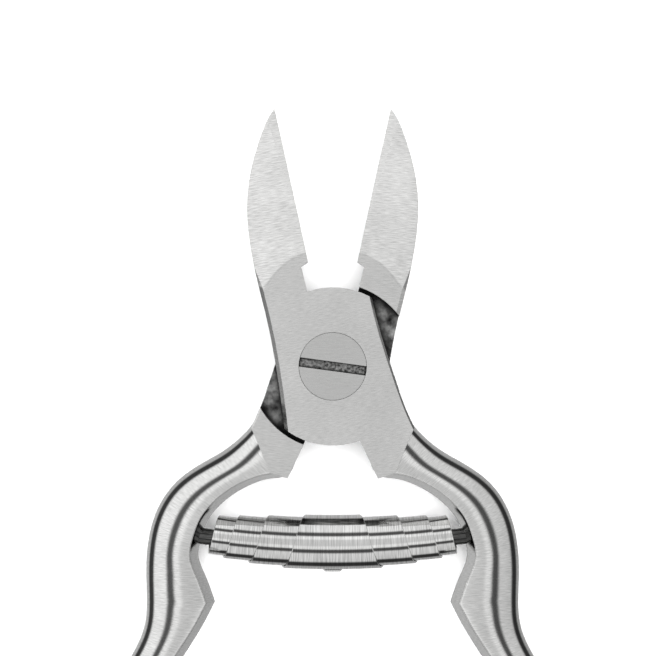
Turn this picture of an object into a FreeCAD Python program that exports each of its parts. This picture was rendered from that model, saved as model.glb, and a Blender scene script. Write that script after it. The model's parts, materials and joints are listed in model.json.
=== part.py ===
"""Nail nipper: two crossed levers in a lap joint, held open by a rolled barrel spring.

Frame: the nipper lies on its rear cheek. The pivot axis is +Z through the origin, the rear cheek is z = 0,
the jaws point along +Y and the handles along -Y. Everything is drawn at rest, with the jaws open.
Lengths are in millimetres and angles in degrees.
"""
import FreeCAD, Part
import Sketcher
import math
import os

from FreeCAD import Placement, Rotation, Vector

os.makedirs("parts", exist_ok=True)
doc = FreeCAD.newDocument("nail_nipper")

# ---------------------------------------------------------------- driving dimensions

DIMENSIONS = [
    ("joint_thick", 9.0, "thickness of the closed lap joint, cheek to cheek"),
    ("lap_gap", 0.05, "running gap between the two sliding lap faces"),
    ("plate_radius", 10.55, "round edge of each lap plate, about the pivot"),
    ("shoulder_radius", 11.15, "round shoulder the other lever's plate turns in"),
    ("screw_head_radius", 4.5, "flush head of the pivot screw"),
    ("screw_head_depth", 2.2, "thickness of the head"),
    ("screw_shank_radius", 3.25, "plain shank that the front lever turns on"),
    ("screw_thread_radius", 3.0, "threaded end in the rear lever"),
    ("screw_fit", 0.05, "radial running gap round head and shank"),
    ("slot_wide", 1.25, "screwdriver slot width"),
    ("slot_deep", 1.1, "screwdriver slot depth"),
    ("slot_tilt", -7.7, "how far the slot is turned from level"),
    ("stud_radius", 1.1, "spring stud"),
    ("stud_out", 13.4, "nose of a stud, from the centre plane"),
    ("stud_root", 20.4, "buried end of a stud, from the centre plane"),
    ("stud_back", 22.6, "studs below the pivot"),
    ("blade_tilt", 7.4, "slope of the ground front face towards the point"),
    ("blade_crown", 50.0, "crown radius of the ground front face"),
    ("blade_start", 15.1, "where the ground front face leaves the cheek, at the cutting edge"),
    ("back_tilt", 12.6, "slope of the back of the jaw towards the point"),
    ("back_crown", 55.0, "crown radius of the back of the jaw"),
    ("back_start", 15.6, "where the back of the jaw leaves the cheek"),
    ("edge_land", 0.3, "thickness left at the cutting edge"),
    ("hollow_root_radius", 6.0, "hollow behind the cutting edge, at the root"),
    ("hollow_tip_radius", 1.9, "hollow behind the cutting edge, at the point"),
    ("hollow_root", 19.8, "centre of the hollow's round root, above the pivot"),
    ("hollow_long", 17.0, "length of the hollow's taper"),
    ("outer_chamfer", 0.5, "chamfer on the outside edge of jaw and cheek"),
    ("inner_chamfer", 0.3, "chamfer on the side edge of the lap plate"),
    ("whet_start", 19.0, "where the whetted flat along the cutting edge starts"),
    ("whet_turn", 5.5, "angle between the whetted flat's border and the cutting edge"),
    ("whet_tilt", 4.5, "slope of the whetted flat towards the cutting edge"),
    ("grind_blend", 2.5, "blend radius between cheek and ground face"),
    ("stud_tilt", 6.3, "a stud points this much away from the pivot, so that it is level half way closed"),
    ("stud_nose_radius", 0.7, "flat of a stud's rounded nose"),
    ("stud_nose_long", 0.5, "length of a stud's rounded nose"),
    ("spring_radius", 3.9, "outside of the barrel at its middle"),
    ("spring_strip", 0.26, "thickness of the rolled strip"),
    ("spring_step", 0.34, "radial step from one turn to the next"),
    ("spring_turns", 4.25, "turns in the roll"),
    ("spring_taper", 1.6, "how the flat strip widens from its tip: 1 is straight, more is rounder"),
    ("spring_half", 16.6, "half the length of the barrel"),
    ("spring_tip_half", 1.0, "half the width of the strip's outer tip"),
    ("spring_arm", 9.5, "width of each arm of the strip"),
    ("spring_back", 23.8, "barrel axis below the pivot, at its middle"),
    ("spring_bow", 1.1, "rise of the barrel's ends towards the pivot"),
]

dims = doc.addObject("Spreadsheet::Sheet", "dims")
for row, (alias, value, meaning) in enumerate(DIMENSIONS, start=1):
    dims.set(f"A{row}", meaning)
    dims.set(f"B{row}", str(value))
    dims.setAlias(f"B{row}", alias)
doc.recompute()


def size(alias):
    return float(dims.get(alias))


JOINT = size("joint_thick")
MID = JOINT / 2

# ---------------------------------------------------------------- outlines of the front lever, in plan

POINT = (-7.80, 34.59)
OUTER_EDGE = [POINT, (-8.30, 33.90), (-9.69, 30.72), (-10.89, 26.45), (-11.45, 21.20), (-10.98, 16.00),
              (-10.09, 11.50), (-9.03, 7.25), (-7.72, 0.85), (-6.90, -4.60), (-6.45, -8.35)]
EDGE_ROOT = (-3.29, 13.92)
NOTCH = (-4.24, 13.30)
WINDOW_FOOT = (-3.43, 9.98)
SIDE_EDGE = [(5.24, 9.16), (6.35, 4.64), (7.45, 1.07), (8.89, -3.19), (9.75, -5.50), (10.95, -8.20)]
CHEEK_FOOT = [(10.95, -8.20), (9.95, -10.40), (9.15, -12.40), (8.45, -14.20)]
CHEEK_CORNER = (6.05, -15.00)
CHEEK_HEEL = (3.62, -9.91)

# Handle sections from the joint to the thumb cusp, and from there to the end:
# inner edge x, y, outer edge x, y, half thickness, squareness of the rounding, and the crown's place
# as a share of the width outside the drafted inner facet.
BOW = [
    (5.05, -11.90, 9.20, -5.20, 4.36, 3.6, 0.16),
    (6.35, -14.75, 11.30, -8.45, 4.32, 2.8, 0.14),
    (8.60, -15.20, 13.70, -10.70, 4.26, 2.3, 0.10),
    (11.50, -16.20, 16.20, -12.30, 4.22, 2.1, 0.07),
    (14.70, -18.30, 19.70, -14.45, 4.20, 2.05, 0.06),
    (16.70, -20.60, 22.35, -17.10, 4.16, 2.05, 0.06),
    (17.75, -23.30, 24.35, -21.30, 4.12, 2.05, 0.09),
    (18.00, -26.00, 25.05, -25.60, 4.09, 2.05, 0.15),
    (17.10, -28.30, 25.10, -28.20, 4.06, 2.05, 0.22),
    (15.85, -31.70, 25.02, -31.70, 4.02, 2.05, 0.30),
]
SHAFT = [
    BOW[-1],
    (17.85, -35.50, 25.25, -34.60, 3.95, 2.05, 0.20),
    (19.80, -38.60, 26.00, -36.90, 3.88, 2.05, 0.14),
    (22.95, -44.00, 28.65, -41.70, 3.75, 2.05, 0.12),
    (26.30, -51.20, 32.25, -49.40, 3.58, 2.05, 0.12),
    (28.85, -60.00, 35.30, -59.20, 3.40, 2.05, 0.12),
    (30.05, -72.00, 36.85, -72.00, 3.20, 2.05, 0.12),
    (30.05, -85.00, 36.85, -85.70, 3.02, 2.05, 0.12),
    (29.45, -96.00, 36.15, -97.20, 2.86, 2.05, 0.12),
]
BOW_STEPS = 20
SHAFT_STEPS = 26
PROFILE_STEP = 6  # the shaft section whose spacing of points all sections share
TOUCH = 1e-3
GRIND_LENGTH = 140.0
WHETSTONE_REACH = 60.0
WHETSTONE_CORNERS = [(-80, -60), (60, -60), (60, 60), (-80, 60)]
GRIND_BEHIND = 84.0  # part of a grinding pass that lies on the handle side of the blade's root
END_LENGTH = 6.5
END_ANGLES = (0, 12, 24, 36, 48, 60, 70, 78)

RIM_SLOPE = 0.14  # slope of the front of a handle section at its inner rim
ROUND_ANGLES = (72, 54, 38, 24, 12, 4, 0)
FACET_WIDE = 1.0  # plan width of the drafted inner facet
FACET_FULL_FROM = 6.0  # sections narrower than this have a narrower facet

STEPS_PER_TURN = 20
FEWEST_STEPS = 8


def flat(point, z=0.0):
    return Vector(point[0], point[1], z)


def spline(points, z=0.0):
    curve = Part.BSplineCurve()
    curve.interpolate([flat(p, z) for p in points])
    return curve.toShape()


def line(a, b):
    return Part.makeLine(flat(a), flat(b))


def arc_about_pivot(a, b):
    """The round edge of the lap plate from a to b, the short way."""
    middle = (flat(a) + flat(b)).normalize() * size("plate_radius")
    return Part.Arc(flat(a), middle, flat(b)).toShape()


def on_plate_radius(point):
    found = flat(point).normalize() * size("plate_radius")
    return (found.x, found.y)


def plan_outline():
    """Jaw, lap plate and cheek as one closed outline, seen from the front."""
    foot = on_plate_radius(WINDOW_FOOT)
    side_top = on_plate_radius(SIDE_EDGE[0])
    heel = on_plate_radius(CHEEK_HEEL)
    plate_corner = on_plate_radius(OUTER_EDGE[-1])
    side = [side_top] + SIDE_EDGE[1:]
    outer = OUTER_EDGE[:-1] + [plate_corner]
    return Part.Wire([
        spline(outer),
        arc_about_pivot(plate_corner, heel),
        line(heel, CHEEK_CORNER),
        line(CHEEK_CORNER, CHEEK_FOOT[-1]),
        spline(CHEEK_FOOT[::-1]),
        spline(side[::-1]),
        arc_about_pivot(side_top, foot),
        line(foot, NOTCH),
        line(NOTCH, EDGE_ROOT),
        line(EDGE_ROOT, POINT),
    ])


def lies_at(edge, level):
    return abs(edge.BoundBox.ZMin - level) < TOUCH and abs(edge.BoundBox.ZMax - level) < TOUCH


def chamfer_rims(solid, point, width):
    """Chamfers the front and rear rims of the side wall that passes through a plan point."""
    rims = []
    for level in (0.0, JOINT):
        mark = Part.Vertex(flat(point, level))
        rims += [e for e in solid.Edges if lies_at(e, level) and e.distToShape(mark)[0] < TOUCH]
    return solid.makeChamfer(width, rims)


def blade_direction():
    run = flat(POINT) - flat(EDGE_ROOT)
    return run.normalize()


def ground_cylinder(start, tilt, crown, side):
    """What a grinding pass leaves: a crowned face over the cutting edge that slopes towards the point.

    side is +1 for a pass over the lever's own front and -1 for a pass over its own back.
    """
    along = blade_direction()
    drop = math.radians(tilt)
    level = MID + side * MID
    axis = along * math.cos(drop) + Vector(0, 0, -side * math.sin(drop))
    outward = along * math.sin(drop) + Vector(0, 0, side * math.cos(drop))
    touch = flat(EDGE_ROOT, level) + along * (start - EDGE_ROOT[1])
    foot = touch - outward * crown - axis * GRIND_BEHIND
    return Part.makeCylinder(crown, GRIND_LENGTH, foot, axis)


def hollow(side):
    """The hollow ground behind the cutting edge: a round root that narrows towards the point."""
    along = blade_direction()
    drop = math.radians(size("blade_tilt"))
    axis = along * math.cos(drop) + Vector(0, 0, -side * math.sin(drop))
    outward = along * math.sin(drop) + Vector(0, 0, side * math.cos(drop))
    crest = flat(EDGE_ROOT, MID + side * MID) + along * (size("blade_start") - EDGE_ROOT[1])
    root_run = size("hollow_root") - size("blade_start")
    root_radius = size("hollow_root_radius")
    tip_radius = size("hollow_tip_radius")
    root = crest + axis * root_run - outward * (size("edge_land") + root_radius)
    tip = crest + axis * (root_run + size("hollow_long")) - outward * (size("edge_land") + tip_radius)
    cone = Part.makeCone(root_radius, tip_radius, (tip - root).Length, root, tip - root)
    return cone.fuse(Part.makeSphere(root_radius, root))


def whetted(side):
    """What whetting leaves: everything under a flat that narrows along the cutting edge, away from the point."""
    along = blade_direction()
    drop = math.radians(size("blade_tilt"))
    turn = math.radians(size("whet_turn"))
    tilt = math.radians(size("whet_tilt"))
    axis = along * math.cos(drop) + Vector(0, 0, -side * math.sin(drop))
    outward = along * math.sin(drop) + Vector(0, 0, side * math.cos(drop))
    away = Vector(-along.y, along.x, 0)
    crest = flat(EDGE_ROOT, MID + side * MID) + along * (size("blade_start") - EDGE_ROOT[1])
    start = crest + axis * (size("whet_start") - size("blade_start"))
    border = axis * math.cos(turn) + away * math.sin(turn)
    across = away * math.cos(turn) - axis * math.sin(turn)
    rise = across * math.cos(tilt) + outward * math.sin(tilt)
    down = across * math.sin(tilt) - outward * math.cos(tilt)
    corners = [start + border * u + rise * v for u, v in WHETSTONE_CORNERS]
    return Part.Face(Part.makePolygon(corners + corners[:1])).extrude(down * WHETSTONE_REACH)


def blend_grinding_line(solid, side):
    """Rounds the curved line where the cheek meets the ground face."""
    level = MID + side * MID
    curved = [e for e in solid.Edges if e.Curve.TypeId == "Part::GeomEllipse" and lies_at(e, level)]
    return solid.makeFillet(size("grind_blend"), curved)


def jaw_and_cheek(side):
    """The flat-sided part of a lever, with the jaw ground to shape; side is where the cutting face is."""
    solid = Part.Face(plan_outline()).extrude(Vector(0, 0, JOINT))
    solid = chamfer_rims(solid, OUTER_EDGE[5], size("outer_chamfer"))
    solid = chamfer_rims(solid, SIDE_EDGE[2], size("inner_chamfer"))
    front = ground_cylinder(size("blade_start"), size("blade_tilt"), size("blade_crown"), side)
    back = ground_cylinder(size("back_start"), size("back_tilt"), size("back_crown"), -side)
    ground = blend_grinding_line(solid.common(front), side)
    return ground.common(back).common(whetted(side)).cut(hollow(side))


def handle_section(inner, outer, half, square, crown_share):
    """Points of one cross-section: the inner parting line, then round the outside from front to back."""
    across = outer - inner
    wide = across.Length
    across.normalize()
    facet = FACET_WIDE * min(1.0, wide / FACET_FULL_FROM)
    span = (wide - facet) * crown_share
    crown = facet + span
    drop = RIM_SLOPE * span / 2

    def at(place, high):
        return inner + across * place + Vector(0, 0, high)

    front = [at(facet, half - drop), at(crown, half)]
    for angle in ROUND_ANGLES:
        turn = math.radians(angle)
        reach = math.cos(turn) ** (2 / square)
        rise = math.sin(turn) ** (2 / square)
        front.append(at(crown + (wide - crown) * reach, half * rise))
    back = [Vector(p.x, p.y, JOINT - p.z) for p in front[-2::-1]]
    return [inner] + front + back


def chord_parameters(points):
    """Interpolation parameters that grow with the distance between points."""
    found = [0.0]
    for a, b in zip(points, points[1:]):
        found.append(found[-1] + (b - a).Length)
    return found


def interpolated(points, parameters):
    curve = Part.BSplineCurve()
    curve.interpolate(Points=points, Parameters=parameters)
    return curve


def skin(sections, profile_parameters):
    """Faces of a smooth skin through sections: the rounded outside and the two drafted inner faces."""
    middles = [(s[1] + s[len(s) // 2]) * 0.5 for s in sections]
    along = chord_parameters(middles)
    lengthwise = [interpolated(list(column), along) for column in zip(*sections)]
    spine, rims = lengthwise[0], lengthwise[1:]
    crosswise = [interpolated(list(row), profile_parameters) for row in zip(*[c.getPoles() for c in rims])]
    outside = Part.BSplineSurface()
    outside.buildFromPolesMultsKnots(
        [c.getPoles() for c in crosswise],
        rims[0].getMultiplicities(), crosswise[0].getMultiplicities(),
        rims[0].getKnots(), crosswise[0].getKnots(),
        False, False, rims[0].Degree, crosswise[0].Degree)
    front = Part.makeRuledSurface(spine.toShape(), rims[0].toShape(), 1)
    back = Part.makeRuledSurface(rims[-1].toShape(), spine.toShape(), 1)
    return [outside.toShape(), front, back]


def cap(section, profile_parameters):
    rim = interpolated(section[1:], profile_parameters).toShape()
    return Part.Face(Part.Wire([
        Part.makeLine(section[0], section[1]), rim, Part.makeLine(section[-1], section[0])]))


def smooth_sections(keys, count):
    """Evenly spaced sections through a list of key sections."""
    inner = [Vector(k[0], k[1], MID) for k in keys]
    outer = [Vector(k[2], k[3], MID) for k in keys]
    build = [Vector(k[4], k[5], k[6]) for k in keys]
    along = chord_parameters([(a + b) * 0.5 for a, b in zip(inner, outer)])
    curves = [interpolated(points, along) for points in (inner, outer, build)]
    sections = []
    for i in range(count + 1):
        place = along[-1] * i / count
        near, far, shape = [c.value(place) for c in curves]
        sections.append(handle_section(near, far, shape.x, shape.y, shape.z))
    return sections


def rounded_end():
    """Sections that shrink along an ellipse to round off the end of the handle."""
    near, far = [Vector(SHAFT[-1][k], SHAFT[-1][k + 1], MID) for k in (0, 2)]
    middle = (near + far) * 0.5
    across = far - near
    run = Vector(across.y, -across.x, 0).normalize()
    sections = []
    for angle in END_ANGLES:
        scale = math.cos(math.radians(angle))
        centre = middle + run * (END_LENGTH * math.sin(math.radians(angle)))
        sections.append(handle_section(
            centre - across * (scale / 2), centre + across * (scale / 2),
            SHAFT[-1][4] * scale, SHAFT[-1][5], SHAFT[-1][6]))
    return sections


def handle():
    """The bow round the spring, the long shaft and its rounded end, sewn into one solid."""
    bow = smooth_sections(BOW, BOW_STEPS)
    shaft = smooth_sections(SHAFT, SHAFT_STEPS)
    end = rounded_end()
    profile_parameters = chord_parameters(shaft[PROFILE_STEP][1:])
    faces = skin(bow, profile_parameters)
    faces += skin(shaft, profile_parameters)
    faces += skin(end, profile_parameters)
    faces += [cap(bow[0], profile_parameters), cap(end[-1], profile_parameters)]
    shell = Part.makeShell(faces)
    shell.sewShape()
    solid = Part.makeSolid(shell)
    if solid.Volume < 0:
        solid.reverse()
    return solid


def lever_blank(side):
    """One forging, before its lap recess and holes are cut."""
    return jaw_and_cheek(side).fuse(handle())


# ---------------------------------------------------------------- rolled barrel spring

def strip_half_width(turned):
    """Half the width of the rolled strip, from its outer tip to its inner ends."""
    left = max(0.0, 1 - turned / size("spring_turns"))
    growth = size("spring_half") - size("spring_tip_half")
    return size("spring_half") - growth * left ** size("spring_taper")


def strip_inner_edge(turned):
    return strip_half_width(turned) - size("spring_arm")


def spring_point(turned, across, depth):
    """A point of the roll: turns from the tip, distance from the centre plane, depth under the surface.

    The barrel's axis is bowed towards the pivot, and its rings stay square to the axis.
    """
    radius = size("spring_radius") - size("spring_step") * turned - depth
    angle = math.pi + 2 * math.pi * turned
    high = radius * math.cos(angle)
    slope = 2 * size("spring_bow") * across / size("spring_half") ** 2
    axis = slope * across / 2 - size("spring_back")
    return Vector(across - slope * high, axis + high, MID + radius * math.sin(angle))


def rolled_strip(first, last, left_edge, right_edge):
    """A length of the strip from one turn to another between two edges, which are functions of the turn."""
    steps = max(FEWEST_STEPS, round((last - first) * STEPS_PER_TURN))
    turns = [first + (last - first) * i / steps for i in range(steps + 1)]
    strip = size("spring_strip")
    corners = [(left_edge, 0), (right_edge, 0), (right_edge, strip), (left_edge, strip)]
    rails = [interpolated([spring_point(t, edge(t), depth) for t in turns], turns) for edge, depth in corners]
    faces = [Part.makeRuledSurface(a.toShape(), b.toShape(), 1) for a, b in zip(rails, rails[1:] + rails[:1])]
    for t in (first, last):
        ring = [spring_point(t, edge(t), depth) for edge, depth in corners]
        faces.append(Part.makeRuledSurface(Part.makeLine(ring[0], ring[1]), Part.makeLine(ring[3], ring[2]), 1))
    shell = Part.makeShell(faces)
    shell.sewShape()
    solid = Part.makeSolid(shell)
    if solid.Volume < 0:
        solid.reverse()
    return solid


def fork_turn():
    """Where the strip has grown as wide as its two arms and parts into them."""
    share = (size("spring_half") - size("spring_arm")) / (size("spring_half") - size("spring_tip_half"))
    return size("spring_turns") * (1 - share ** (1 / size("spring_taper")))


def barrel_spring():
    """A forked steel strip rolled up from its two arms, so that it shortens between the handles."""
    fork = fork_turn()
    root = rolled_strip(0.0, fork, lambda t: 0.0, strip_half_width)
    arm = rolled_strip(fork, size("spring_turns"), lambda t: max(0.0, strip_inner_edge(t)), strip_half_width)
    right = root.fuse(arm)
    left = right.mirror(Vector(0, 0, 0), Vector(1, 0, 0))
    return right.fuse(left)


# ---------------------------------------------------------------- sketches and features

def origin_plane(body, role):
    return next(f for f in body.Origin.OriginFeatures if f.Role == role)


def new_sketch(body, name, role, lift="0"):
    """An empty sketch on one of the body's origin planes, raised by an expression of the driving dimensions."""
    sketch = body.newObject("Sketcher::SketchObject", name)
    sketch.AttachmentSupport = [(origin_plane(body, role), "")]
    sketch.MapMode = "FlatFace"
    sketch.setExpression("AttachmentOffset.Base.z", lift)
    return sketch


def fix_point(sketch, geometry, end, axis, expression):
    """Holds one coordinate of a sketch point to an expression of the driving dimensions."""
    value = float(sketch.evalExpression(expression))
    number = sketch.addConstraint(Sketcher.Constraint(f"Distance{axis}", -1, 1, geometry, end, value))
    sketch.setExpression(f"Constraints[{number}]", expression)


def draw_circle(sketch, radius):
    circle = sketch.addGeometry(Part.Circle(Vector(0, 0, 0), Vector(0, 0, 1), float(sketch.evalExpression(radius))))
    sketch.addConstraint(Sketcher.Constraint("Coincident", circle, 3, -1, 1))
    number = sketch.addConstraint(Sketcher.Constraint("Radius", circle, float(sketch.evalExpression(radius))))
    sketch.setExpression(f"Constraints[{number}]", radius)


def draw_polygon(sketch, corners):
    """A closed outline whose corners are pairs of expressions of the driving dimensions."""
    places = [Vector(float(sketch.evalExpression(x)), float(sketch.evalExpression(y)), 0) for x, y in corners]
    count = len(corners)
    for i in range(count):
        sketch.addGeometry(Part.LineSegment(places[i], places[(i + 1) % count]))
    for i in range(count):
        sketch.addConstraint(Sketcher.Constraint("Coincident", i, 2, (i + 1) % count, 1))
    for i, (x, y) in enumerate(corners):
        fix_point(sketch, i, 1, "X", x)
        fix_point(sketch, i, 1, "Y", y)


def new_body(label, base=None):
    body = doc.addObject("PartDesign::Body", label)
    body.Label = label
    if base is not None:
        body.BaseFeature = base
    return body


def add_pocket(body, name, sketch, length, into_front=False):
    """Cuts a sketch into the body: towards the back, or towards the front."""
    pocket = body.newObject("PartDesign::Pocket", name)
    pocket.Profile = sketch
    pocket.Reversed = into_front
    pocket.setExpression("Length", length)
    sketch.Visibility = False
    return pocket


def add_revolution(body, name, corners):
    sketch = new_sketch(body, f"{name}_outline", "XZ_Plane")
    draw_polygon(sketch, corners)
    turned = body.newObject("PartDesign::Revolution", name)
    turned.Profile = sketch
    turned.ReferenceAxis = (sketch, ["V_Axis"])
    turned.Angle = 360.0
    return turned


# ---------------------------------------------------------------- the pieces

def stud_placement(side):
    """Where a stud is buried in the handle on one side (+1 right, -1 left), with +Z towards its nose."""
    tilt = math.radians(size("stud_tilt"))
    towards = Vector(-side * math.cos(tilt), -math.sin(tilt), 0)
    root = Vector(side * size("stud_root"), -size("stud_back"), MID)
    return Placement(root, Rotation(Vector(0, 0, 1), towards))


def add_lap_recess(body):
    """The round recess that the other lever's plate turns in, cut from the back."""
    sketch = new_sketch(body, f"{body.Label}_recess_outline", "XY_Plane")
    draw_circle(sketch, "dims.shoulder_radius")
    add_pocket(body, f"{body.Label}_lap_recess", sketch, "(dims.joint_thick + dims.lap_gap) / 2", into_front=True)


def add_pivot_hole(body, name, radius, depth):
    """A round hole about the pivot, cut from the front cheek."""
    sketch = new_sketch(body, f"{body.Label}_{name}_outline", "XY_Plane", "dims.joint_thick")
    draw_circle(sketch, radius)
    add_pocket(body, f"{body.Label}_{name}", sketch, depth)


def add_stud_hole(body):
    """The blind hole in the bow of the handle that a stud is pressed into."""
    hole = body.newObject("PartDesign::SubtractiveCylinder", f"{body.Label}_stud_hole")
    hole.setExpression("Radius", "dims.stud_radius")
    hole.setExpression("Height", "dims.stud_root - dims.stud_out")
    hole.Placement = stud_placement(1)


def make_front_lever(blank):
    """Left jaw, front lap plate and right handle."""
    body = new_body("front_lever", blank)
    add_lap_recess(body)
    add_pivot_hole(body, "head_counterbore", "dims.screw_head_radius + dims.screw_fit",
                   "dims.screw_head_depth + dims.screw_fit")
    add_pivot_hole(body, "shank_bore", "dims.screw_shank_radius + dims.screw_fit", "dims.joint_thick")
    add_stud_hole(body)
    return body


def make_rear_lever(blank):
    """Right jaw, rear lap plate and left handle: the same outline turned over about its length.

    Both jaws are ground from the nipper's front, so this one's cutting face is on its own back.
    """
    body = new_body("rear_lever", blank)
    add_lap_recess(body)
    add_pivot_hole(body, "threaded_hole", "dims.screw_thread_radius", "dims.joint_thick")
    add_stud_hole(body)
    body.Placement = Placement(Vector(0, 0, JOINT), Rotation(Vector(0, 1, 0), 180))
    return body


SLOT_OVERRUN = 1.0  # how far the slot's sketch goes beyond the head at each end


def make_pivot_screw():
    """Flush slotted head, plain shank in the front lever and thread in the rear one."""
    body = new_body("pivot_screw")
    under_head = "dims.joint_thick - dims.screw_head_depth"
    shank_end = "dims.joint_thick / 2 - dims.lap_gap / 4"
    add_revolution(body, "screw", [
        ("0", "0"),
        ("dims.screw_thread_radius", "0"),
        ("dims.screw_thread_radius", shank_end),
        ("dims.screw_shank_radius", shank_end),
        ("dims.screw_shank_radius", under_head),
        ("dims.screw_head_radius", under_head),
        ("dims.screw_head_radius", "dims.joint_thick"),
        ("0", "dims.joint_thick"),
    ])
    slot = new_sketch(body, "slot_outline", "XY_Plane", "dims.joint_thick")
    slot.setExpression("AttachmentOffset.Rotation.Angle", "dims.slot_tilt")
    half_long = f"dims.screw_head_radius + {SLOT_OVERRUN}"
    half_wide = "dims.slot_wide / 2"
    draw_polygon(slot, [
        (f"-({half_long})", f"-{half_wide}"),
        (half_long, f"-{half_wide}"),
        (half_long, half_wide),
        (f"-({half_long})", half_wide),
    ])
    add_pocket(body, "driver_slot", slot, "dims.slot_deep")
    return body


def make_stud(label, side):
    """A round-nosed pin that stands out of a handle into one end of the spring."""
    body = new_body(label)
    length = "(dims.stud_root - dims.stud_out)"
    add_revolution(body, f"{label}_pin", [
        ("0", "0"),
        ("dims.stud_radius", "0"),
        ("dims.stud_radius", f"{length} - dims.stud_nose_long"),
        ("dims.stud_nose_radius", length),
        ("0", length),
    ])
    body.Placement = stud_placement(side)
    return body


def make_barrel_spring():
    part = doc.addObject("Part::Feature", "barrel_spring")
    part.Label = "barrel_spring"
    part.Shape = barrel_spring()
    part.Placement = Placement()
    return part


LEAST_CUT = 1000.0  # cubic millimetres that the recess and the holes have to take away


def make_forging(name, side):
    forging = doc.addObject("Part::Feature", name)
    forging.Shape = lever_blank(side)
    return forging


front_forging = make_forging("front_forging", 1)
rear_forging = make_forging("rear_forging", -1)
doc.recompute()

pieces = [
    make_front_lever(front_forging),
    make_rear_lever(rear_forging),
    make_pivot_screw(),
    make_stud("right_spring_stud", 1),
    make_stud("left_spring_stud", -1),
    make_barrel_spring(),
]
doc.recompute()

for item in doc.Objects:
    if "Invalid" in item.State or "Error" in item.State:
        raise RuntimeError(f"{item.Label} failed: {item.State}")
for piece in pieces:
    if piece.Shape.isNull() or not piece.Shape.isValid():
        raise RuntimeError(f"{piece.Label} has no valid shape")
for lever, forging in zip(pieces, (front_forging, rear_forging)):
    if lever.Shape.Volume > forging.Shape.Volume - LEAST_CUT:
        raise RuntimeError(f"{lever.Label} lost too little metal to its recess and holes")
for piece in pieces:
    piece.Shape.exportStep(f"parts/{piece.Label}.step")
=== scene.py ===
"""Nail nipper on a pale table, seen from straight above as in a catalogue picture.

Lengths that describe the nipper are in millimetres and are turned into metres by MM.
Row frame: pivot axis +Z through the origin, rear cheek on z = 0, jaws along +Y.
"""

import json
import math

import bmesh
import bpy
import numpy as np
from mathutils import Matrix, Vector


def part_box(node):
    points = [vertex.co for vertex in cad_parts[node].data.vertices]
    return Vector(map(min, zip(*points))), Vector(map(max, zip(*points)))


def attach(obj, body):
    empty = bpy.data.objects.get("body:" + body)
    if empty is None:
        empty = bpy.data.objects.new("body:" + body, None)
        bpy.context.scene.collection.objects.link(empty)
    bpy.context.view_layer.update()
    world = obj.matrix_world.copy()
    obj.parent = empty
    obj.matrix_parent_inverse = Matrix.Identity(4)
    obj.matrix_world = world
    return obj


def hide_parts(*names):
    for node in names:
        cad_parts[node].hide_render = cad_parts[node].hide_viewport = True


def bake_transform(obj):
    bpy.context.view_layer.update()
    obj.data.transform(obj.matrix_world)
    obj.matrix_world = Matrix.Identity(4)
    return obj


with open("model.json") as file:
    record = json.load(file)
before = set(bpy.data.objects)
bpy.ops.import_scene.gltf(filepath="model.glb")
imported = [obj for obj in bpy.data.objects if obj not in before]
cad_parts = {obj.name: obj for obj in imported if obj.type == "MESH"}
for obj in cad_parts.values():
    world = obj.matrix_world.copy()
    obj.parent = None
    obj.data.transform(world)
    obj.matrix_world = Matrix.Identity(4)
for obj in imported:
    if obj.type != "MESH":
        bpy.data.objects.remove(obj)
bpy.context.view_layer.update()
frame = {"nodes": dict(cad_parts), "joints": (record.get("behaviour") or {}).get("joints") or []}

MM = 0.001
REAR, FRONT = "rear_lever_body", "front_lever_body"
PIVOT = Vector(next(j for j in frame["joints"] if j["name"] == "lever_hinge")["pos_m"])
SCREW_LOW, SCREW_HIGH = [Vector(p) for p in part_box("pivot_screw")]
THICK = SCREW_HIGH.z / MM
MID = THICK / 2

# ---------------------------------------------------------------- camera

LENS = 180.0
SENSOR = 36.0
VIEW_IN_SCREW_HEADS = 9.72
AIM_FROM_PIVOT = Vector((-0.63, 5.12, 0)) * MM


def make_camera():
    """A long lens straight above the joint, framed so that the handles run out of the picture."""
    data = bpy.data.cameras.new("camera")
    data.lens = LENS
    data.sensor_width = SENSOR
    data.clip_start = 0.01
    data.clip_end = 20
    camera = bpy.data.objects.new("camera", data)
    bpy.context.collection.objects.link(camera)
    wide = (SCREW_HIGH.x - SCREW_LOW.x) * VIEW_IN_SCREW_HEADS
    aim = PIVOT + AIM_FROM_PIVOT
    camera.location = Vector((aim.x, aim.y, SCREW_HIGH.z + wide * LENS / SENSOR))
    bpy.context.scene.camera = camera


make_camera()

# ---------------------------------------------------------------- table, light and surroundings

def new_material(name):
    """An empty node material: returns the material, its nodes, its links and its surface shader."""
    material = bpy.data.materials.new(name)
    material.use_nodes = True
    nodes, links = material.node_tree.nodes, material.node_tree.links
    return material, nodes, links, nodes["Principled BSDF"]


FLOOR_SIZE = 3.0
FLOOR_LEVEL = -0.0004
BACKDROP_RADIUS = 1.45
BACKDROP_HEIGHT = 3.0


def make_floor():
    """A plain pale table top, which the steel doesn't mirror."""
    bpy.ops.mesh.primitive_plane_add(size=FLOOR_SIZE, location=(0, 0, FLOOR_LEVEL))
    floor = bpy.context.object
    floor.name = "floor"
    material, _, _, shader = new_material("pale_table")
    shader.inputs["Base Color"].default_value = (0.93, 0.93, 0.93, 1)
    shader.inputs["Roughness"].default_value = 0.9
    shader.inputs["Specular IOR Level"].default_value = 0.0
    floor.data.materials.append(material)
    floor.visible_glossy = False


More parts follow.
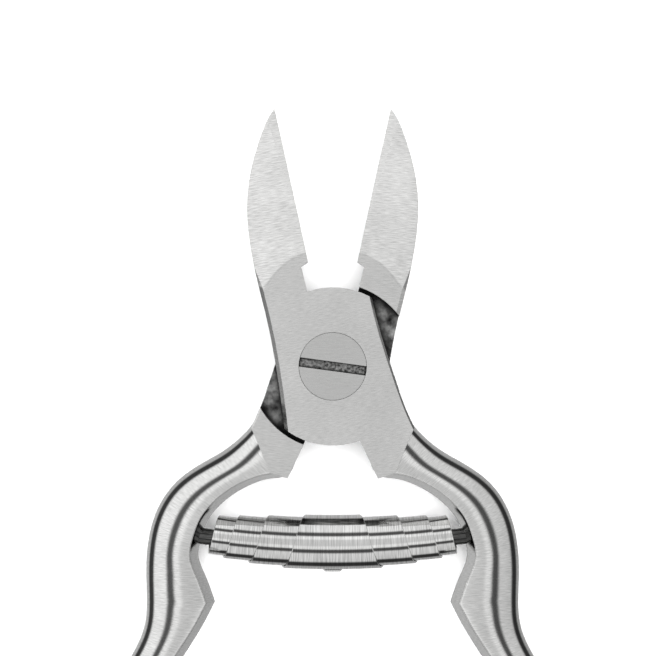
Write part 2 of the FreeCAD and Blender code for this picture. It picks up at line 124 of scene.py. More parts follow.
def make_backdrop():
    """A plain white wall far round the table, which only the camera sees."""
    mesh = bpy.data.meshes.new("backdrop")
    build = bmesh.new()
    bmesh.ops.create_cone(build, cap_ends=False, segments=96, radius1=BACKDROP_RADIUS,
                          radius2=BACKDROP_RADIUS, depth=BACKDROP_HEIGHT)
    build.to_mesh(mesh)
    build.free()
    wall = bpy.data.objects.new("backdrop", mesh)
    bpy.context.collection.objects.link(wall)
    material, _, _, shader = new_material("white_backdrop")
    shader.inputs["Base Color"].default_value = (0, 0, 0, 1)
    shader.inputs["Specular IOR Level"].default_value = 0.0
    shader.inputs["Emission Color"].default_value = (1, 1, 1, 1)
    shader.inputs["Emission Strength"].default_value = 1.0
    mesh.materials.append(material)
    wall.visible_glossy = False
    wall.visible_diffuse = False
    wall.visible_shadow = False


def area_light(name, place, aim, size, watts):
    """A square soft lamp that faces a point."""
    data = bpy.data.lights.new(name, "AREA")
    data.shape = "RECTANGLE"
    data.size = size
    data.size_y = size
    data.energy = watts
    lamp = bpy.data.objects.new(name, data)
    bpy.context.collection.objects.link(lamp)
    lamp.location = place
    lamp.rotation_euler = (Vector(aim) - Vector(place)).to_track_quat("-Z", "Y").to_euler()
    return lamp


# Light of the tent against the angle from straight up: (degrees, amount), pale panels with two dark gaps.
TENT = [(0, 0.62), (10, 0.62), (18, 0.85), (24, 0.85), (32, 0.08), (40, 0.08),
        (50, 0.80), (85, 0.80), (98, 0.04), (116, 0.04), (130, 0.50), (180, 0.60)]
TENT_STRENGTH = 1.35
BRIGHT_SIDE = Vector((-0.8, 0.4, 0.45)).normalized()
DIM_SIDE_LOSS = 0.45


def math_node(nodes, links, operation, *inputs):
    node = nodes.new("ShaderNodeMath")
    node.operation = operation
    for i, value in enumerate(inputs):
        if isinstance(value, (int, float)):
            node.inputs[i].default_value = value
        else:
            links.new(value, node.inputs[i])
    return node.outputs[0]


def light_ramp(nodes, links, source, stops):
    """A ramp from 0 to 180 degrees through the given amounts of light."""
    ramp = nodes.new("ShaderNodeValToRGB")
    ramp.color_ramp.interpolation = "EASE"
    elements = ramp.color_ramp.elements
    while len(elements) < len(stops):
        elements.new(0.5)
    for element, (degrees, amount) in zip(elements, stops):
        element.position = degrees / 180
        element.color = (amount, amount, amount, 1)
    links.new(source, ramp.inputs[0])
    return ramp.outputs[0]


def make_world():
    """A photographer's tent: the same rings of light towards every side, a little brighter on one."""
    world = bpy.data.worlds.new("studio")
    bpy.context.scene.world = world
    world.use_nodes = True
    nodes, links = world.node_tree.nodes, world.node_tree.links
    direction = nodes.new("ShaderNodeTexCoord").outputs["Generated"]
    split = nodes.new("ShaderNodeSeparateXYZ")
    links.new(direction, split.inputs[0])
    angle = math_node(nodes, links, "ARCCOSINE", split.outputs[2])
    rings = light_ramp(nodes, links, math_node(nodes, links, "DIVIDE", angle, math.pi), TENT)
    toward = nodes.new("ShaderNodeVectorMath")
    toward.operation = "DOT_PRODUCT"
    toward.inputs[1].default_value = BRIGHT_SIDE
    links.new(direction, toward.inputs[0])
    gain = math_node(nodes, links, "MULTIPLY", toward.outputs["Value"], DIM_SIDE_LOSS / 2)
    level = math_node(nodes, links, "ADD", gain, 1 - DIM_SIDE_LOSS / 2)
    background = nodes["Background"]
    links.new(math_node(nodes, links, "MULTIPLY", rings, level), background.inputs["Color"])
    background.inputs["Strength"].default_value = TENT_STRENGTH


OVERHEAD_PLACE = (0.1, 0.1, 1.6)
OVERHEAD_SIZE = 1.6
OVERHEAD_WATTS = 55


def make_light():
    """The tent's panels are in the world; a lamp that metal doesn't mirror keeps the table white."""
    make_world()
    lamp = area_light("overhead", OVERHEAD_PLACE, (0, 0, 0), OVERHEAD_SIZE, OVERHEAD_WATTS)
    lamp.visible_glossy = False
    bpy.context.scene.view_settings.view_transform = "Standard"


make_floor()
make_backdrop()
make_light()

# ---------------------------------------------------------------- materials

BRUSH_MAP = "brush"
MARKS_PER_MM = 8.0
SMUDGES_PER_M = 160.0
STREAK_SHARE = 0.75
EDGE_ROUND = 0.08
RECESS_CLOUDS_PER_M = 600.0
RECESS_SPECKS_PER_M = 2600.0
# How far the painted shade in the recess's corners reaches, in millimetres.
RECESS_SHADE_REACH = 1.2
SLOT_SPOTS_PER_M = 3000.0
# How far the painted shade by the slot's walls reaches, and the depth under the faces where the painted shade
# of slot and shank starts, in millimetres.
SLOT_SHADE_REACH = 0.35
SLOT_SHADE_FROM = 0.05
WEAK_MIDDLE = (0.3, 0.7)


def map_range(nodes, links, source, low, high):
    """Turns 0 to 1 into low to high."""
    node = nodes.new("ShaderNodeMapRange")
    node.inputs["To Min"].default_value = low
    node.inputs["To Max"].default_value = high
    links.new(source, node.inputs["Value"])
    return node.outputs[0]


def noise(nodes, links, source, scale, detail, stretch=(1, 1, 1)):
    """Noise of 0 to 1 over coordinates that are stretched first."""
    mapping = nodes.new("ShaderNodeMapping")
    mapping.inputs["Scale"].default_value = stretch
    links.new(source, mapping.inputs["Vector"])
    texture = nodes.new("ShaderNodeTexNoise")
    texture.inputs["Scale"].default_value = scale
    texture.inputs["Detail"].default_value = detail
    links.new(mapping.outputs[0], texture.inputs["Vector"])
    return texture.outputs["Fac"]


def sharpened(nodes, links, source, low, high):
    """Noise with its weak middle spread to the whole of 0 to 1."""
    node = nodes.new("ShaderNodeMapRange")
    node.inputs["From Min"].default_value = low
    node.inputs["From Max"].default_value = high
    links.new(source, node.inputs["Value"])
    return node.outputs[0]


def grey_mix(nodes, links, factor, dark, light):
    """A grey between two shades, very slightly warm as bare steel is."""
    mix = nodes.new("ShaderNodeMix")
    mix.data_type = "RGBA"
    mix.inputs["A"].default_value = (dark, dark, dark * 0.99, 1)
    mix.inputs["B"].default_value = (light, light, light * 0.99, 1)
    links.new(factor, mix.inputs["Factor"])
    return mix.outputs["Result"]


def corner_shade_mask(nodes, links, reach):
    """0 in a narrow corner and 1 in the open: a mask that paints shade into corners."""
    node = nodes.new("ShaderNodeAmbientOcclusion")
    node.samples = 8
    node.inputs["Distance"].default_value = reach * MM
    return sharpened(nodes, links, node.outputs["AO"], 0.55, 0.98)


def brushed_steel(name, dark, light, rough_low, rough_high, stroke, groove, source="UV", dome=0.0):
    """Steel with fine parallel grinding marks.

    dark and light are the shades between the marks, stroke the length of a mark over its width,
    and groove the depth of the marks in millimetres. source is UV for pieces with a brush map, or Object.
    dome rounds the flats over as a polishing wheel does: the fall in millimetres at 1 mm from the middle.
    Below 0 it hollows them instead.
    """
    material, nodes, links, shader = new_material(name)
    if source == "UV":
        place = nodes.new("ShaderNodeUVMap")
        place.uv_map = BRUSH_MAP
        marks = place.outputs["UV"]
        fine = (MARKS_PER_MM, MARKS_PER_MM / stroke, 1)
    else:
        marks = nodes.new("ShaderNodeTexCoord").outputs["Object"]
        fine = (MARKS_PER_MM / stroke / MM, MARKS_PER_MM / MM, MARKS_PER_MM / stroke / MM)
    body = nodes.new("ShaderNodeTexCoord").outputs["Object"]
    streak = sharpened(nodes, links, noise(nodes, links, marks, 1.0, 3.0, fine), *WEAK_MIDDLE)
    smudge = sharpened(nodes, links, noise(nodes, links, body, SMUDGES_PER_M, 3.0), 0.35, 0.65)
    blend = math_node(nodes, links, "ADD", math_node(nodes, links, "MULTIPLY", streak, STREAK_SHARE),
                      math_node(nodes, links, "MULTIPLY", smudge, 1 - STREAK_SHARE))
    links.new(grey_mix(nodes, links, blend, dark, light), shader.inputs["Base Color"])
    links.new(map_range(nodes, links, blend, rough_high, rough_low), shader.inputs["Roughness"])
    edge = nodes.new("ShaderNodeBevel")
    edge.samples = 4
    edge.inputs["Radius"].default_value = EDGE_ROUND * MM
    bump = nodes.new("ShaderNodeBump")
    bump.inputs["Strength"].default_value = 1.0
    bump.inputs["Distance"].default_value = groove * MM
    links.new(streak, bump.inputs["Height"])
    links.new(edge.outputs[0], bump.inputs["Normal"])
    links.new(bump.outputs[0], shader.inputs["Normal"])
    if dome:
        split = nodes.new("ShaderNodeSeparateXYZ")
        links.new(body, split.inputs[0])
        across = math_node(nodes, links, "DIVIDE", split.outputs[0], MM)
        fall = math_node(nodes, links, "MULTIPLY", math_node(nodes, links, "MULTIPLY", across, across), -dome)
        rounded = nodes.new("ShaderNodeBump")
        rounded.inputs["Distance"].default_value = MM
        links.new(fall, rounded.inputs["Height"])
        links.new(edge.outputs[0], rounded.inputs["Normal"])
        links.new(rounded.outputs[0], bump.inputs["Normal"])
    shader.inputs["Metallic"].default_value = 1.0
    return material


def painted_shade_recess(name):
    """The unpolished recess of the joint: dull and spotted with old grease, with its colour darkened as
    painted shade, most of all in its narrow corners.
    """
    material, nodes, links, shader = new_material(name)
    body = nodes.new("ShaderNodeTexCoord").outputs["Object"]
    cloud = sharpened(nodes, links, noise(nodes, links, body, RECESS_CLOUDS_PER_M, 5.0), *WEAK_MIDDLE)
    speck = sharpened(nodes, links, noise(nodes, links, body, RECESS_SPECKS_PER_M, 2.0), 0.4, 0.75)
    blend = math_node(nodes, links, "MULTIPLY", cloud, map_range(nodes, links, speck, 1.0, 0.55))
    # Painted shade: the colour is darkened where the corner closes in.
    blend = math_node(nodes, links, "MULTIPLY", blend, corner_shade_mask(nodes, links, RECESS_SHADE_REACH))
    # The dark end is nearly black: painted shade of the recess and of the gap round the plate.
    links.new(grey_mix(nodes, links, blend, 0.03, 0.72), shader.inputs["Base Color"])
    links.new(map_range(nodes, links, cloud, 0.6, 0.42), shader.inputs["Roughness"])
    bump = nodes.new("ShaderNodeBump")
    bump.inputs["Strength"].default_value = 0.6
    bump.inputs["Distance"].default_value = 0.02 * MM
    links.new(speck, bump.inputs["Height"])
    links.new(bump.outputs[0], shader.inputs["Normal"])
    shader.inputs["Metallic"].default_value = 1.0
    return material


CHEEK_STEEL = {
    "front_lever": brushed_steel("front_cheek_steel", 0.62, 0.82, 0.14, 0.22, 7.0, 0.003, dome=0.003),
    "rear_lever": brushed_steel("rear_cheek_steel", 0.60, 0.80, 0.14, 0.22, 9.0, 0.003, dome=-0.003),
}
BLADE_STEEL = brushed_steel("blade_steel", 0.54, 0.86, 0.08, 0.14, 10.0, 0.0025)
HANDLE_STEEL = brushed_steel("handle_steel", 0.58, 0.84, 0.07, 0.14, 10.0, 0.0022)
# Steel whose colour carries painted shade, for the recess, the plate's round edge and the shoulder's wall.
RECESS_SHADE_STEEL = painted_shade_recess("recess_shade_steel")
WHETTED_STEEL = brushed_steel("whetted_steel", 0.58, 0.80, 0.08, 0.14, 8.0, 0.002)
LEVER_MATERIALS = {node: [steel, BLADE_STEEL, HANDLE_STEEL, RECESS_SHADE_STEEL, WHETTED_STEEL]
                   for node, steel in CHEEK_STEEL.items()}
CHEEK, BLADE, HANDLE, RECESS, WHETTED = range(5)

# ---------------------------------------------------------------- small geometry

def natural_spline(knots, values, places):
    """Values at some places of the natural cubic spline through rows of values at the knots."""
    knots, values, places = [np.asarray(v, float) for v in (knots, values, places)]
    count = len(knots)
    gaps = np.diff(knots)
    slopes = np.diff(values, axis=0) / gaps[:, None]
    system = np.eye(count)
    right = np.zeros_like(values)
    for i in range(1, count - 1):
        system[i, i - 1:i + 2] = gaps[i - 1], 2 * (gaps[i - 1] + gaps[i]), gaps[i]
        right[i] = 6 * (slopes[i] - slopes[i - 1])
    bends = np.linalg.solve(system, right)
    cell = np.clip(np.searchsorted(knots, places) - 1, 0, count - 2)
    gap = gaps[cell][:, None]
    high = (places - knots[cell])[:, None] / gap
    low = 1 - high
    bent = (low ** 3 - low) * bends[cell] + (high ** 3 - high) * bends[cell + 1]
    return low * values[cell] + high * values[cell + 1] + bent * gap ** 2 / 6


def distance_along(points):
    steps = np.linalg.norm(np.diff(np.asarray(points, float), axis=0), axis=1)
    return np.concatenate([[0.0], np.cumsum(steps)])


def smooth_line(points, count):
    """A smooth plan curve through a few points."""
    along = distance_along(points)
    return natural_spline(along, points, np.linspace(0, along[-1], count))


def new_object(name, mesh):
    piece = bpy.data.objects.new(name, mesh)
    bpy.context.collection.objects.link(piece)
    return piece


def mesh_from(name, vertices, faces):
    mesh = bpy.data.meshes.new(name)
    mesh.from_pydata([tuple(v) for v in vertices], [], [tuple(f) for f in faces])
    mesh.update()
    return mesh


def face_outward(mesh):
    """Turns all faces of a closed mesh outward."""
    build = bmesh.new()
    build.from_mesh(mesh)
    bmesh.ops.recalc_face_normals(build, faces=build.faces)
    build.to_mesh(mesh)
    build.free()


def combine(target, operation, tool):
    """Joins, cuts or intersects a piece with a tool, which is used up."""
    step = target.modifiers.new(operation, "BOOLEAN")
    step.operation = operation
    step.solver = "EXACT"
    step.object = tool
    seen = target.evaluated_get(bpy.context.evaluated_depsgraph_get())
    shaped = bpy.data.meshes.new_from_object(seen)
    target.modifiers.clear()
    target.data = shaped
    bpy.data.objects.remove(tool)


def cad_copy(name, node):
    """A CAD node's mesh as a new object in millimetres, with its seams welded."""
    source = frame["nodes"][node].data
    mesh = mesh_from(name, [v.co / MM for v in source.vertices], [f.vertices for f in source.polygons])
    build = bmesh.new()
    build.from_mesh(mesh)
    bmesh.ops.remove_doubles(build, verts=build.verts, dist=1e-4)
    build.to_mesh(mesh)
    build.free()
    return new_object(name, mesh)

# ---------------------------------------------------------------- handle

# The drawn outlines of a lever, as in its CAD: plan points, then for the handle's sections
# inner edge x, y, outer edge x, y, half thickness, squareness of the rounding, and the crown's place
# as a share of the width outside the drafted inner facet.
SIDE_EDGE = [(5.24, 9.16), (6.35, 4.64), (7.45, 1.07), (8.89, -3.19), (9.75, -5.50), (10.95, -8.20)]
CHEEK_FOOT = [(10.95, -8.20), (9.95, -10.40), (9.15, -12.40), (8.45, -14.20)]
CHEEK_CORNER = (6.05, -15.00)
BOW = [
    (5.05, -11.90, 9.20, -5.20, 4.36, 3.6, 0.16),
    (6.35, -14.75, 11.30, -8.45, 4.32, 2.8, 0.14),
    (8.60, -15.20, 13.70, -10.70, 4.26, 2.3, 0.10),
    (11.50, -16.20, 16.20, -12.30, 4.22, 2.1, 0.07),
    (14.70, -18.30, 19.70, -14.45, 4.20, 2.05, 0.06),
    (16.70, -20.60, 22.35, -17.10, 4.16, 2.05, 0.06),
    (17.75, -23.30, 24.35, -21.30, 4.12, 2.05, 0.09),
    (18.00, -26.00, 25.05, -25.60, 4.09, 2.05, 0.15),
    (17.10, -28.30, 25.10, -28.20, 4.06, 2.05, 0.22),
    (15.85, -31.70, 25.02, -31.70, 4.02, 2.05, 0.30),
]
SHAFT = [
    (17.85, -35.50, 25.25, -34.60, 3.95, 2.05, 0.20),
    (19.80, -38.60, 26.00, -36.90, 3.88, 2.05, 0.14),
    (22.95, -44.00, 28.65, -41.70, 3.75, 2.05, 0.12),
    (26.30, -51.20, 32.25, -49.40, 3.58, 2.05, 0.12),
    (28.85, -60.00, 35.30, -59.20, 3.40, 2.05, 0.12),
    (30.05, -72.00, 36.85, -72.00, 3.20, 2.05, 0.12),
    (30.05, -85.00, 36.85, -85.70, 3.02, 2.05, 0.12),
    (29.45, -96.00, 36.15, -97.20, 2.86, 2.05, 0.12),
]
END_LENGTH = 6.5
FACET_WIDE = 1.0
FACET_FULL_FROM = 6.0
RIM_SLOPE = 0.14
RIM_ROUND = 0.16

BOW_RINGS = 76
SHAFT_RINGS = 96
END_RINGS = 16
FACET_POINTS = 4
RIM_POINTS = 4
FLAT_POINTS = 8
ROUND_POINTS = 24


def half_profile(wide, half, square, crown_share):
    """Half of a handle's section, as (distance from the inner edge, height), from inner to outer edge."""
    facet = FACET_WIDE * min(1.0, wide / FACET_FULL_FROM)
    span = (wide - facet) * crown_share
    crown = facet + span
    drop = RIM_SLOPE * span / 2
    rim = np.array((facet, half - drop))
    down = rim / np.linalg.norm(rim)
    over = np.array((1.0, RIM_SLOPE))
    over /= np.linalg.norm(over)
    cut = min(RIM_ROUND, facet / 3, span / 3)
    points = [(rim - down * cut) * share for share in np.linspace(0, 1, FACET_POINTS, endpoint=False)]
    for part in np.linspace(0, 1, RIM_POINTS, endpoint=False):
        points.append(rim - down * cut * (1 - part) ** 2 + over * cut * part ** 2)
    for part in np.linspace(cut / span, 1, FLAT_POINTS, endpoint=False):
        points.append(np.array((facet + span * part, half - drop * (1 - part) ** 2)))
    for turn in np.linspace(math.pi / 2, 0, ROUND_POINTS):
        reach = max(0.0, math.cos(turn)) ** (2 / square)
        rise = max(0.0, math.sin(turn)) ** (2 / square)
        points.append(np.array((crown + (wide - crown) * reach, half * rise)))
    return np.array(points)


def ring(inner, outer, half, square, crown_share):
    """One closed cross-section of the handle in space, from its inner edge over the front and back again."""
    across = outer - inner
    wide = np.linalg.norm(across)
    across = across / wide
    front = half_profile(wide, half, square, crown_share)
    back = front[-2:0:-1] * (1, -1)
    points = np.concatenate([front, back])
    plan = inner + points[:, :1] * across
    return np.column_stack([plan, MID + points[:, 1]])


def handle_rings():
    """Rings from inside the cheek, round the bow, down the shaft and over its rounded end."""
    keys = np.array(BOW + SHAFT)
    centres = (keys[:, 0:2] + keys[:, 2:4]) / 2
    along = distance_along(centres)
    cusp = len(BOW) - 1
    bow_places = np.linspace(0, along[cusp], BOW_RINGS, endpoint=False)
    shaft_places = np.linspace(along[cusp], along[-1], SHAFT_RINGS)
    inner = np.concatenate([
        natural_spline(along[:cusp + 1], keys[:cusp + 1, 0:2], bow_places),
        natural_spline(along[cusp:], keys[cusp:, 0:2], shaft_places)])
    places = np.concatenate([bow_places, shaft_places])
    rest = natural_spline(along, keys[:, 2:], places)
    rings = [ring(i, o[:2], *o[2:]) for i, o in zip(inner, rest)]
    near, far = inner[-1], rest[-1][:2]
    half, square, crown_share = rest[-1][2:]
    across = far - near
    run = np.array((across[1], -across[0])) / np.linalg.norm(across)
    for turn in np.linspace(0, math.pi / 2, END_RINGS + 1, endpoint=False)[1:]:
        scale = math.cos(turn)
        centre = (near + far) / 2 + run * END_LENGTH * math.sin(turn)
        rings.append(ring(centre - across * scale / 2, centre + across * scale / 2,
                          half * scale, square, crown_share))
    tip = (near + far) / 2 + run * END_LENGTH
    return np.array(rings), np.array((tip[0], tip[1], MID))


def turned_over(points):
    """Turns points of the front lever about its length into points of the rear one."""
    return points * (-1, 1, -1) + (0, 0, THICK)


def handle_piece(name, node, flip):
    """The handle as a closed skin with a brush map that runs along it and round it."""
    rings, tip = handle_rings()
    count, size = rings.shape[:2]
    vertices = np.concatenate([rings.reshape(-1, 3), tip[None]])
    faces, marks = [], []
    along = distance_along(rings.mean(axis=1))
    for i in range(count - 1):
        for j in range(size):
            k = (j + 1) % size
            faces.append((i * size + j, (i + 1) * size + j, (i + 1) * size + k, i * size + k))
            marks.append(((i, j), (i + 1, j), (i + 1, j + 1), (i, j + 1)))
    last = (count - 1) * size
    for j in range(size):
        faces.append((last + j, count * size, last + (j + 1) % size))
        marks.append(((count - 1, j), (count, j), (count - 1, j + 1)))
    faces.append(tuple(range(size)))
    marks.append(tuple((0, j) for j in range(size)))
    if flip:
        vertices = turned_over(vertices)
    mesh = mesh_from(name, vertices, faces)
    around = [distance_along(np.concatenate([r, r[:1]])) for r in rings]
    around.append(around[-1])
    along = np.append(along, along[-1] + 1.0)
    layer = mesh.uv_layers.new(name=BRUSH_MAP)
    for face, places in zip(mesh.polygons, marks):
        for loop, (i, j) in zip(face.loop_indices, places):
            layer.data[loop].uv = (along[i], around[i][j])
    for material in LEVER_MATERIALS[node]:
        mesh.materials.append(material)
    for face in mesh.polygons:
        face.material_index = HANDLE
    face_outward(mesh)
    return new_object(name, mesh)

# ---------------------------------------------------------------- jaw and cheek

CUT_INSET = 0.04
FAR = 60.0
TOOL_MARGIN = 5.0
SIDE_POINTS = 60
FOOT_POINTS = 16
SAFE_SIDE = 3
BLADE_TURN = math.radians(0.4)
PLATE_RADIUS = 10.55
SHOULDER_RADIUS = 11.15
JOINT_CLEAR = 0.15
LEVEL = 0.9
TRULY_LEVEL = 0.99
UPRIGHT = 0.2
NEAR = 0.1
WALL_NEAR = 0.5
LEVER_CREASE = 28
SMALL_CREASE = 40
BRUSH_TILT = {"front_lever": math.radians(9), "rear_lever": math.radians(-4)}


def head_tool(name, flip):
    """A prism that holds the jaw and cheek, and ends just inside the line where the handle starts."""
    side = smooth_line(SIDE_EDGE, SIDE_POINTS)
    side = side[side[:, 1] < SIDE_EDGE[SAFE_SIDE][1]] - (CUT_INSET, 0)
    foot = smooth_line(CHEEK_FOOT, FOOT_POINTS)[1:] - (CUT_INSET, 0)
    corner = np.array(CHEEK_CORNER) + (0, CUT_INSET)
    plan = [(FAR, FAR), (FAR, SIDE_EDGE[SAFE_SIDE][1])]
    plan += [tuple(p) for p in side]
    plan += [tuple(p) for p in foot]
    plan += [tuple(corner), (CHEEK_CORNER[0], -FAR / 2), (-FAR, -FAR / 2), (-FAR, FAR)]
    count = len(plan)
    low = np.array([(x, y, -TOOL_MARGIN) for x, y in plan])
    vertices = np.concatenate([low, low + (0, 0, THICK + 2 * TOOL_MARGIN)])
    if flip:
        vertices = turned_over(vertices)
    faces = [tuple(range(count)), tuple(range(2 * count - 1, count - 1, -1))]
    faces += [(i, (i + 1) % count, (i + 1) % count + count, i + count) for i in range(count)]
    mesh = mesh_from(name, vertices, faces)
    face_outward(mesh)
    return new_object(name, mesh)


def joint_tool(name):
    """A drum that clears the handle's hidden root out of the round recess of the joint."""
    mesh = bpy.data.meshes.new(name)
    build = bmesh.new()
    bmesh.ops.create_cone(build, cap_ends=True, segments=128, radius1=SHOULDER_RADIUS + JOINT_CLEAR,
                          radius2=SHOULDER_RADIUS + JOINT_CLEAR, depth=4 * THICK)
    build.to_mesh(mesh)
    build.free()
    return new_object(name, mesh)


def region(centre, normal):
    """Which finish a face of the jaw or cheek has."""
    radius = math.hypot(centre.x, centre.y)
    level = abs(normal.z) > LEVEL
    # The RECESS finish carries painted shade: the recess floor, the plate's round edge and the shoulder's
    # wall.
    if level and abs(centre.z - MID) < NEAR and radius < SHOULDER_RADIUS:
        return RECESS
    if abs(normal.z) < UPRIGHT and radius < PLATE_RADIUS + NEAR:
        return RECESS
    if abs(normal.z) < UPRIGHT and abs(radius - SHOULDER_RADIUS) < WALL_NEAR:
        return RECESS
    if normal.z > TRULY_LEVEL and radius < PLATE_RADIUS / 2 and NEAR < centre.z < THICK - NEAR:
        return RECESS
    if centre.y > PLATE_RADIUS and LEVEL < normal.z < math.cos(BLADE_TURN) and centre.x * normal.x < 0:
        return WHETTED
    if centre.y > PLATE_RADIUS and abs(normal.z) < math.cos(BLADE_TURN):
        return BLADE
    return CHEEK


def finish_head(piece, node):
    """Gives the jaw and cheek their finishes and a brush map across the lever."""
    mesh = piece.data
    mesh.materials.clear()
    for material in LEVER_MATERIALS[node]:
        mesh.materials.append(material)
    while mesh.uv_layers:
        mesh.uv_layers.remove(mesh.uv_layers[0])
    layer = mesh.uv_layers.new(name=BRUSH_MAP)
    tilt = BRUSH_TILT[node]
    for face in mesh.polygons:
        face.material_index = region(face.center, face.normal)
        for loop in face.loop_indices:
            x, y, z = mesh.vertices[mesh.loops[loop].vertex_index].co
            fine = y * math.cos(tilt) - x * math.sin(tilt)
            long = x * math.cos(tilt) + y * math.sin(tilt) if abs(face.normal.z) > 0.3 else z
            layer.data[loop].uv = (fine, long)


def crisp_border(mesh, finish):
    """Marks the border of one finish as sharp, though the faces meet there at a small angle."""
    sides = {}
    for face in mesh.polygons:
        for key in face.edge_keys:
            sides.setdefault(key, set()).add(face.material_index == finish)
    for edge in mesh.edges:
        if len(sides[edge.key]) == 2:
            edge.use_edge_sharp = True


def finish_piece(piece, crease):
    """Back to metres, smooth with creases, and with large flat faces that stay flat up to their edges."""
    piece.data.transform(Matrix.Scale(MM, 4))
    piece.data.shade_smooth()
    piece.data.set_sharp_from_angle(angle=math.radians(crease))
    crisp_border(piece.data, WHETTED)
    evened = piece.modifiers.new("weighted_normals", "WEIGHTED_NORMAL")
    evened.mode = "FACE_AREA"
    evened.keep_sharp = True


def make_lever(node, body, flip, stud):
    """One forging: jaw and cheek from the CAD, with a finer handle grown onto it."""
    piece = cad_copy(f"{node}_forging", node)
    combine(piece, "INTERSECT", head_tool("head_tool", flip))
    finish_head(piece, node)
    handle = handle_piece("handle", node, flip)
    combine(handle, "DIFFERENCE", joint_tool("joint_tool"))
    combine(piece, "UNION", handle)
    combine(piece, "DIFFERENCE", cad_copy("stud_tool", stud))
    finish_piece(piece, LEVER_CREASE)
    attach(piece, body)
    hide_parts(node)


make_lever("front_lever", FRONT, False, "right_spring_stud")
make_lever("rear_lever", REAR, True, "left_spring_stud")

# ---------------------------------------------------------------- barrel spring

SPRING_RADIUS = 3.9
SPRING_STEP = 0.34
SPRING_TURNS = 4.25
SPRING_STRIP = 0.26
SPRING_TAPER = 1.6
SPRING_HALF = 16.6
SPRING_TIP_HALF = 1.0
SPRING_ARM = 9.5
SPRING_BACK = 23.8
SPRING_BOW = 1.1
STRIP_ROUND = 0.05
TURN_STEPS = 64
ACROSS_STEPS = 10


def strip_half_width(turned):
    left = max(0.0, 1 - turned / SPRING_TURNS)
    return SPRING_HALF - (SPRING_HALF - SPRING_TIP_HALF) * left ** SPRING_TAPER


def spring_point(turned, across, depth):
    """A point of the roll: turns from the tip, distance from the centre plane, depth under the surface."""
    radius = SPRING_RADIUS - SPRING_STEP * turned - depth
    angle = math.pi + 2 * math.pi * turned
    high = radius * math.cos(angle)
    slope = 2 * SPRING_BOW * across / SPRING_HALF ** 2
    axis = slope * across / 2 - SPRING_BACK
    return (across - slope * high, axis + high, MID + radius * math.sin(angle))


def strip_profile(turned):
    """The strip's section on the right of the centre plane, as (across, depth).

    It runs over the outside and back along the inside.
    """
    wide = strip_half_width(turned)
    inner = max(0.0, wide - SPRING_ARM)
    soft = min(STRIP_ROUND, inner / 2)
    outside = np.linspace(inner + soft, wide - STRIP_ROUND, ACROSS_STEPS)
    points = [(a, 0.0) for a in outside]
    points += [(wide, STRIP_ROUND), (wide, SPRING_STRIP - STRIP_ROUND)]
    points += [(a, SPRING_STRIP) for a in outside[::-1]]
    points += [(inner, SPRING_STRIP - soft), (inner, soft)]
    return points


def spring_piece():
    """A forked strip rolled up from its two arms: the right half, mirrored and welded along its middle."""
    share = (SPRING_HALF - SPRING_ARM) / (SPRING_HALF - SPRING_TIP_HALF)
    fork = SPRING_TURNS * (1 - share ** (1 / SPRING_TAPER))
    root_steps = round(fork * TURN_STEPS)
    turns = np.concatenate([np.linspace(0, fork, root_steps, endpoint=False),
                            np.linspace(fork, SPRING_TURNS, round((SPRING_TURNS - fork) * TURN_STEPS))])
    rows = [strip_profile(t) for t in turns]
    size = len(rows[0])
    vertices = [spring_point(t, a, d) for t, row in zip(turns, rows) for a, d in row]
    faces = []
    for i in range(len(turns) - 1):
        closed = i >= root_steps
        for j in range(size if closed else size - 3):
            k = (j + 1) % size
            faces.append((i * size + j, (i + 1) * size + j, (i + 1) * size + k, i * size + k))
    last = (len(turns) - 1) * size
    faces.append(tuple(last + j for j in range(size)))
    faces.append(tuple(range(size - 2)))
    mesh = mesh_from("barrel_spring_roll", vertices, faces)
    layer = mesh.uv_layers.new(name=BRUSH_MAP)
    for face in mesh.polygons:
        for loop in face.loop_indices:
            row, column = divmod(mesh.loops[loop].vertex_index, size)
            layer.data[loop].uv = (rows[row][column][0], turns[row] * 2 * math.pi * SPRING_RADIUS)
    build = bmesh.new()
    build.from_mesh(mesh)
    bmesh.ops.remove_doubles(build, verts=build.verts, dist=1e-5)
    loose = [v for v in build.verts if not v.link_faces]
    bmesh.ops.delete(build, geom=loose, context="VERTS")
    copied = bmesh.ops.duplicate(build, geom=build.verts[:] + build.edges[:] + build.faces[:])
    mirrored = [g for g in copied["geom"] if isinstance(g, bmesh.types.BMVert)]
    for vertex in mirrored:
        vertex.co.x = -vertex.co.x
    bmesh.ops.reverse_faces(build, faces=[g for g in copied["geom"] if isinstance(g, bmesh.types.BMFace)])
    bmesh.ops.remove_doubles(build, verts=build.verts, dist=1e-4)
    bmesh.ops.recalc_face_normals(build, faces=build.faces)
    build.to_mesh(mesh)
    build.free()
    return new_object("barrel_spring_roll", mesh)


SPRING_STEEL = brushed_steel("spring_strip_steel", 0.46, 0.94, 0.03, 0.10, 30.0, 0.0015)


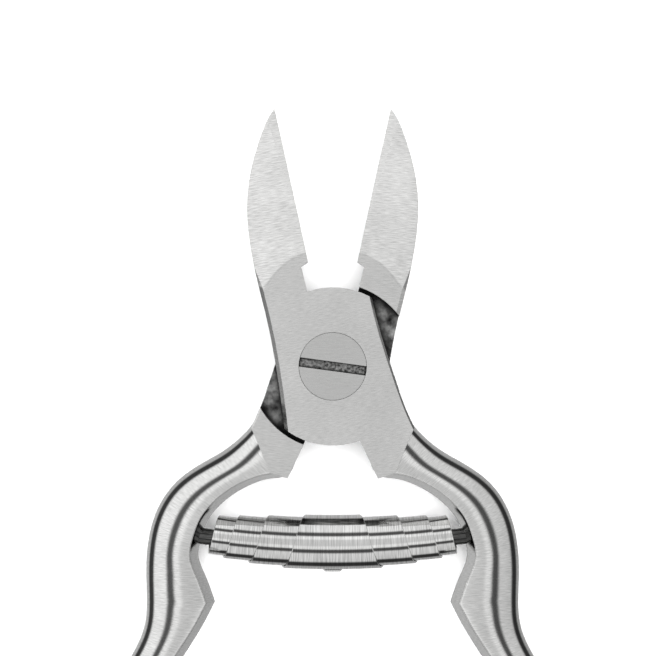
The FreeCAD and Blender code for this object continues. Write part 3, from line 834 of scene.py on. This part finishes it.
def make_spring():
    piece = spring_piece()
    piece.data.materials.append(SPRING_STEEL)
    finish_piece(piece, SMALL_CREASE)
    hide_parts("barrel_spring")
    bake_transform(piece)


make_spring()

# ---------------------------------------------------------------- screw and studs

def screw_steel(name):
    """Fine brushed steel on the screw's faces; down in its slot and on its shank the colour is nearly black
    with spots as painted shade, darkest next to the slot's walls.
    """
    material = brushed_steel(name, 0.58, 0.66, 0.22, 0.34, 10.0, 0.003, source="Object")
    nodes, links = material.node_tree.nodes, material.node_tree.links
    shader = nodes["Principled BSDF"]
    place = nodes.new("ShaderNodeTexCoord").outputs["Object"]
    split = nodes.new("ShaderNodeSeparateXYZ")
    links.new(place, split.inputs[0])
    height = math_node(nodes, links, "SUBTRACT", split.outputs[2], MID * MM)
    from_middle = math_node(nodes, links, "ABSOLUTE", height)
    # Painted shade: below the faces the colour turns nearly black, in the slot and on the shank.
    sunk_shade_mask = math_node(nodes, links, "LESS_THAN", from_middle, (MID - SLOT_SHADE_FROM) * MM)
    bright = shader.inputs["Base Color"].links[0].from_socket
    spots_and_shade = sharpened(nodes, links, noise(nodes, links, place, SLOT_SPOTS_PER_M, 3.0), *WEAK_MIDDLE)
    # Painted shade, darkest next to the slot's walls.
    spots_and_shade = math_node(nodes, links, "MULTIPLY", spots_and_shade, corner_shade_mask(nodes, links, SLOT_SHADE_REACH))
    dark = grey_mix(nodes, links, spots_and_shade, 0.01, 0.42)
    both = nodes.new("ShaderNodeMix")
    both.data_type = "RGBA"
    links.new(sunk_shade_mask, both.inputs["Factor"])
    links.new(bright, both.inputs["A"])
    links.new(dark, both.inputs["B"])
    links.new(both.outputs["Result"], shader.inputs["Base Color"])
    return material


def dress(node, material, crease):
    """A better material and smooth shading for a CAD node that keeps its shape."""
    piece = frame["nodes"][node]
    for slot in piece.material_slots:
        slot.material = material
    piece.data.shade_smooth()
    piece.data.set_sharp_from_angle(angle=math.radians(crease))


dress("pivot_screw", screw_steel("screw_head_steel"), LEVER_CREASE)
# The studs are coloured nearly black as painted shade, where they sit between the handle and the spring.
STUD_SHADE_STEEL = brushed_steel("stud_pin_shade_steel", 0.05, 0.16, 0.18, 0.32, 12.0, 0.002, source="Object")
dress("left_spring_stud", STUD_SHADE_STEEL, SMALL_CREASE)
dress("right_spring_stud", STUD_SHADE_STEEL, SMALL_CREASE)
